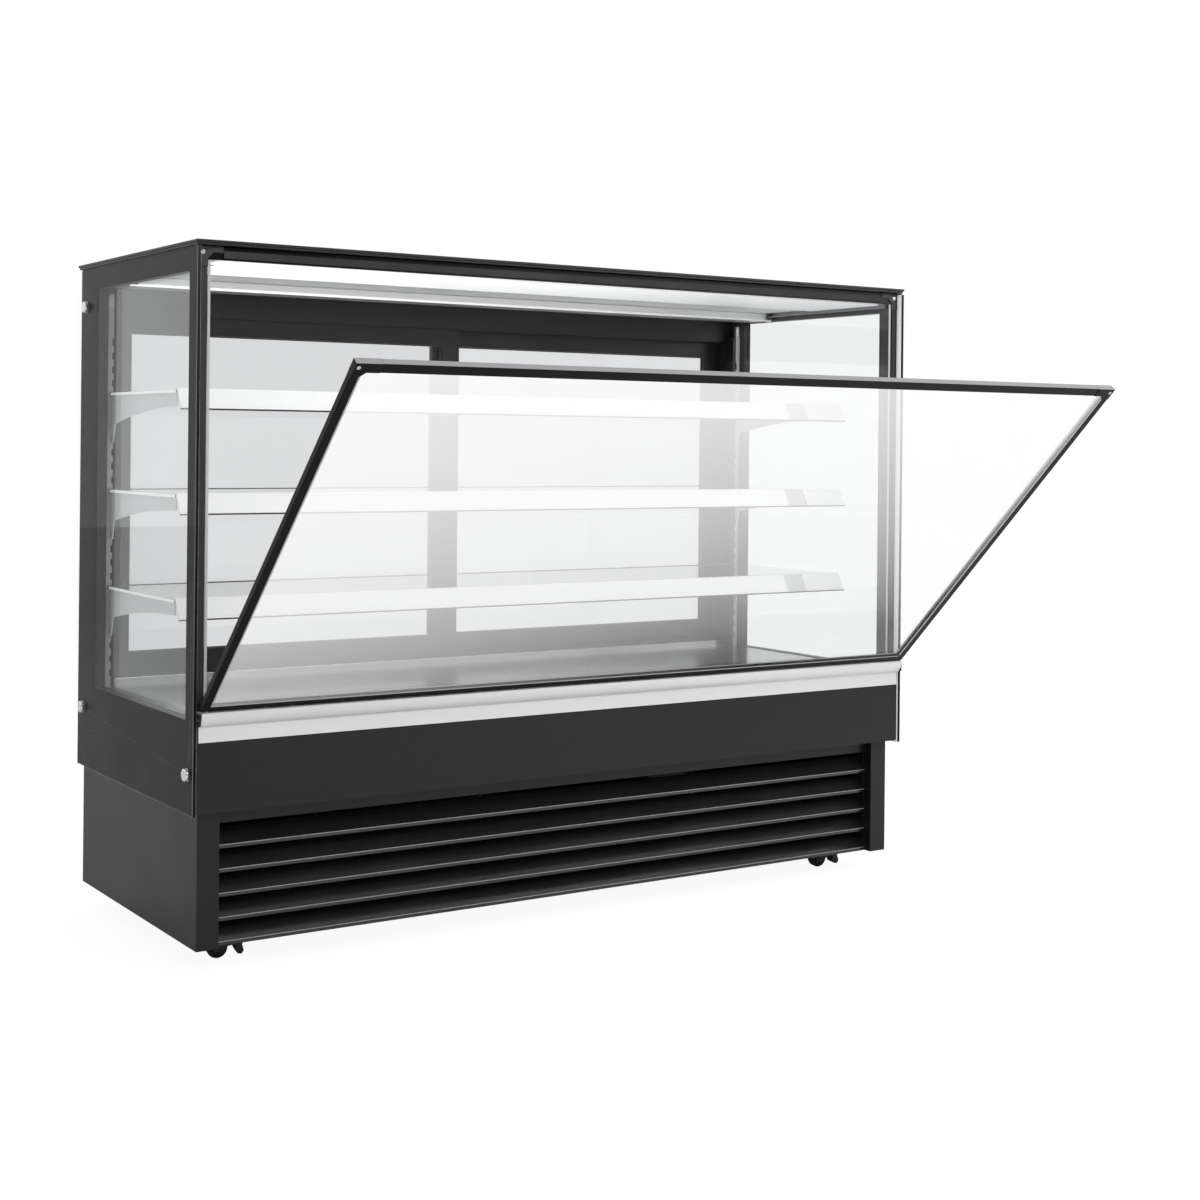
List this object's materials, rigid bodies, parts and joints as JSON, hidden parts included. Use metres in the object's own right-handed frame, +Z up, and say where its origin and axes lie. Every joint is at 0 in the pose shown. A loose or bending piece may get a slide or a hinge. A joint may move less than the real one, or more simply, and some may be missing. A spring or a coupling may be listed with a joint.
{
  "type": "refrigerated bakery display case",
  "caption": "Black refrigerated bakery display case with a tilting glass front door shown open, glass shelves, sliding rear doors, a louvred base and small casters.",
  "frame": {"origin": "on the floor, below the middle of the whole case with its front door open", "axes": "+X to the right seen from the customer's side, +Y to the service side, +Z up"},
  "size_m": [1.586, 1.0908, 1.2],
  "materials": {
    "black_steel": "satin black powder coat",
    "black_slats": "semi-gloss black",
    "foam_black": "matt black",
    "black_print": "black print behind glass",
    "clear_glass": "clear",
    "brushed_trim": "brushed anodised",
    "chrome": "bright",
    "black_plastic": "moulded black",
    "door_black": "black anodised",
    "frame_plastic": "charcoal profile",
    "white_plastic": "white",
    "pale_lip": "pale grey",
    "zinc": "zinc plated",
    "rubber": "black rubber",
    "deck_steel": "brushed stainless",
    "white_coat": "white powder coat",
    "lamp_white": "opal diffuser",
    "machine_black": "gloss black enamel",
    "coil_alloy": "mill finish",
    "fan_white": "moulded grey"
  },
  "bodies": {
    "cabinet": {"base_chassis": "black_steel", "base_side_panels": "black_steel", "bumper_trim": "brushed_trim", "case_fixings": "chrome", "caster_plates": "zinc", "ceiling_panel": "white_plastic", "compressor": "machine_black", "condenser_coil": "coil_alloy", "control_panel": "black_steel", "deck_floor": "deck_steel", "door_seal": "rubber", "evaporator_coil": "coil_alloy", "evaporator_fan_carrier": "black_plastic", "fan_shroud": "black_plastic", "front_fascia": "black_steel", "grille_frame": "black_steel", "grille_slats": "black_slats", "header_bar": "black_steel", "header_corners": "black_plastic", "hinge_plates": "black_steel", "lamp_panel": "lamp_white", "led_canopy": "brushed_trim", "rear_frame": "frame_plastic", "rear_service_panel": "black_steel", "shelf_brackets": "white_coat", "shelf_panes": "clear_glass", "shelf_strips": "brushed_trim", "shelf_uprights": "zinc", "side_frames": "foam_black", "side_panes": "clear_glass", "side_prints": "black_print", "side_sheets": "clear_glass", "strip_inserts": "white_plastic", "top_plate": "black_steel", "well_tub": "foam_black"},
    "front_door": {"door_rails": "door_black", "door_glass": "clear_glass", "door_corner_caps": "black_plastic", "door_screws": "chrome", "door_lips": "pale_lip", "door_hinge_arms": "zinc"},
    "rear_door_left": {"rear_door_left_frame": "frame_plastic", "rear_door_left_glass": "clear_glass"},
    "rear_door_right": {"rear_door_right_frame": "frame_plastic", "rear_door_right_glass": "clear_glass"},
    "condenser_fan_rotor": {"condenser_fan": "fan_white"},
    "evaporator_fan_rotor": {"evaporator_fan": "fan_white"},
    "light_rocker": {"light_switch": "black_plastic"},
    "power_rocker": {"power_switch": "black_plastic"},
    "fork_front_left": {"caster_fork_front_left": "zinc"},
    "wheel_front_left": {"caster_wheel_front_left": "rubber"},
    "pedal_front_left": {"caster_pedal_front_left": "black_plastic"},
    "fork_front_right": {"caster_fork_front_right": "zinc"},
    "wheel_front_right": {"caster_wheel_front_right": "rubber"},
    "pedal_front_right": {"caster_pedal_front_right": "black_plastic"},
    "fork_rear_left": {"caster_fork_rear_left": "zinc"},
    "wheel_rear_left": {"caster_wheel_rear_left": "rubber"},
    "fork_rear_right": {"caster_fork_rear_right": "zinc"},
    "wheel_rear_right": {"caster_wheel_rear_right": "rubber"}
  },
  "joints": [
    {"name": "front_door_hinge", "type": "hinge", "parent": "cabinet", "child": "front_door", "pos_m": [0, -0.02064, 0.4235], "axis": [1, 0, 0], "range_deg": [-43.5, 0]},
    {"name": "rear_door_left_slide", "type": "slide", "parent": "cabinet", "child": "rear_door_left", "axis": [1, 0, 0], "range_m": [0, 0.7]},
    {"name": "rear_door_right_slide", "type": "slide", "parent": "cabinet", "child": "rear_door_right", "axis": [-1, 0, 0], "range_m": [0, 0.7]},
    {"name": "front_left_swivel", "type": "hinge", "parent": "cabinet", "child": "fork_front_left", "pos_m": [-0.678, 0.09586, 0.038], "axis": [0, 0, 1], "continuous": true},
    {"name": "front_left_wheel_spin", "type": "hinge", "parent": "fork_front_left", "child": "wheel_front_left", "pos_m": [-0.68974, 0.09836, 0.018], "axis": [0.2079, 0.9781, 0], "continuous": true},
    {"name": "front_left_brake", "type": "hinge", "parent": "fork_front_left", "child": "pedal_front_left", "pos_m": [-0.66724, 0.09357, 0.026], "axis": [0.2079, 0.9781, 0], "range_deg": [0, 12]},
    {"name": "front_right_swivel", "type": "hinge", "parent": "cabinet", "child": "fork_front_right", "pos_m": [0.678, 0.09586, 0.038], "axis": [0, 0, 1], "continuous": true},
    {"name": "front_right_wheel_spin", "type": "hinge", "parent": "fork_front_right", "child": "wheel_front_right", "pos_m": [0.66626, 0.09836, 0.018], "axis": [0.2079, 0.9781, 0], "continuous": true},
    {"name": "front_right_brake", "type": "hinge", "parent": "fork_front_right", "child": "pedal_front_right", "pos_m": [0.68876, 0.09357, 0.026], "axis": [0.2079, 0.9781, 0], "range_deg": [0, 12]},
    {"name": "rear_left_swivel", "type": "hinge", "parent": "cabinet", "child": "fork_rear_left", "pos_m": [-0.678, 0.45386, 0.038], "axis": [0, 0, 1], "continuous": true},
    {"name": "rear_left_wheel_spin", "type": "hinge", "parent": "fork_rear_left", "child": "wheel_rear_left", "pos_m": [-0.68719, 0.44615, 0.018], "axis": [-0.6428, 0.766, 0], "continuous": true},
    {"name": "rear_right_swivel", "type": "hinge", "parent": "cabinet", "child": "fork_rear_right", "pos_m": [0.678, 0.45386, 0.038], "axis": [0, 0, 1], "continuous": true},
    {"name": "rear_right_wheel_spin", "type": "hinge", "parent": "fork_rear_right", "child": "wheel_rear_right", "pos_m": [0.66881, 0.44615, 0.018], "axis": [-0.6428, 0.766, 0], "continuous": true},
    {"name": "condenser_fan_spin", "type": "hinge", "parent": "cabinet", "child": "condenser_fan_rotor", "pos_m": [-0.33, 0.19386, 0.132], "axis": [0, 1, 0], "continuous": true},
    {"name": "evaporator_fan_spin", "type": "hinge", "parent": "cabinet", "child": "evaporator_fan_rotor", "pos_m": [0.45, 0.35386, 0.34], "axis": [0, 1, 0], "continuous": true},
    {"name": "light_switch_rock", "type": "hinge", "parent": "cabinet", "child": "light_rocker", "pos_m": [-0.3, 0.54086, 0.345], "axis": [1, 0, 0], "range_deg": [-18, 0]},
    {"name": "power_switch_rock", "type": "hinge", "parent": "cabinet", "child": "power_rocker", "pos_m": [-0.26, 0.54086, 0.345], "axis": [1, 0, 0], "range_deg": [-18, 0]}
  ]
}
